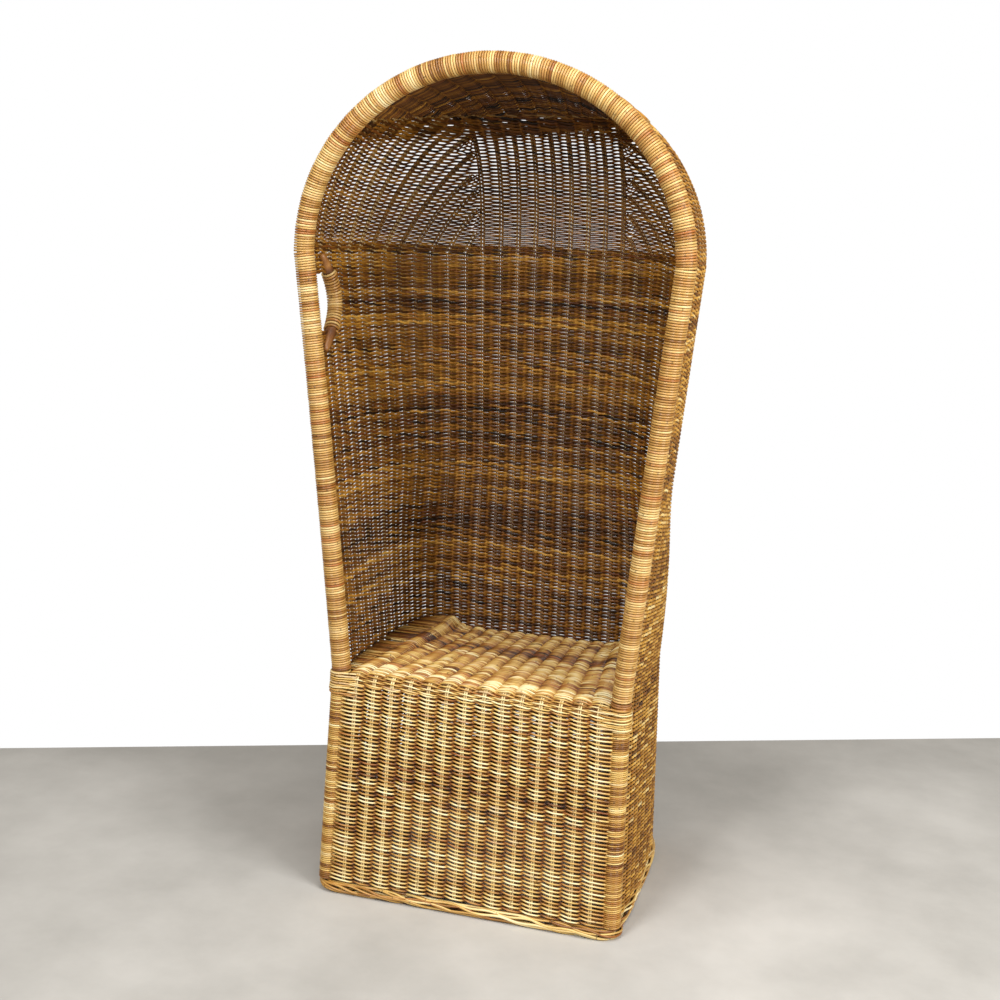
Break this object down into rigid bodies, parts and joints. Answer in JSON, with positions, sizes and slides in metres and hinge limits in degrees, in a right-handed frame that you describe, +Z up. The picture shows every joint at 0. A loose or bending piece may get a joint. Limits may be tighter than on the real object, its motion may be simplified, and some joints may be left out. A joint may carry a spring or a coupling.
{
  "type": "porters chair",
  "caption": "Tall hooded porters chair of woven rattan: a wound front arch, wrap-around sides, a domed hood, a box base with a woven seat, and a rod handle in one side.",
  "frame": {"origin": "centre of the chair's outline on the floor", "axes": "+Z up, the open front facing -Y, +X to the right of someone who looks at the front"},
  "size_m": [0.748, 0.532, 1.608],
  "materials": {
    "rattan_pole": "peeled rattan pole, satin",
    "wound_cane": "split cane wound in close turns, satin varnish",
    "leg_wrap": "cane wound close round the leg, satin",
    "lashing": "dark stained cane",
    "handle_rod": "bare dark brown rattan",
    "shell_weave": "woven round-core rattan, honey brown with darker bands",
    "hood_weave": "open woven rattan, honey brown",
    "seat_weave": "woven rattan, pale honey with red brown streaks",
    "front_weave": "woven rattan over paired stakes",
    "border": "twisted rattan border"
  },
  "bodies": {
    "root": {"front_arch_pole": "rattan_pole", "rear_leg_left": "rattan_pole", "rear_leg_right": "rattan_pole", "seat_rail_front": "rattan_pole", "seat_rail_left": "rattan_pole", "seat_rail_right": "rattan_pole", "seat_rail_rear": "rattan_pole", "foot_rail_front": "rattan_pole", "foot_rail_left": "rattan_pole", "foot_rail_right": "rattan_pole", "foot_rail_rear": "rattan_pole", "seat_bearer_left": "rattan_pole", "seat_bearer_middle": "rattan_pole", "seat_bearer_right": "rattan_pole", "arch_wrap": "wound_cane", "handle_winding": "wound_cane", "leg_wrap_left": "leg_wrap", "leg_wrap_right": "leg_wrap", "arch_lashing_left": "lashing", "arch_lashing_right": "lashing", "handle_rod": "handle_rod", "shell_side_left": "shell_weave", "shell_side_right": "shell_weave", "shell_back": "shell_weave", "hood_side_left": "hood_weave", "hood_side_right": "hood_weave", "hood_back": "hood_weave", "hood_roof": "hood_weave", "seat_weave": "seat_weave", "base_front_weave": "front_weave", "foot_border": "border"}
  },
  "joints": []
}
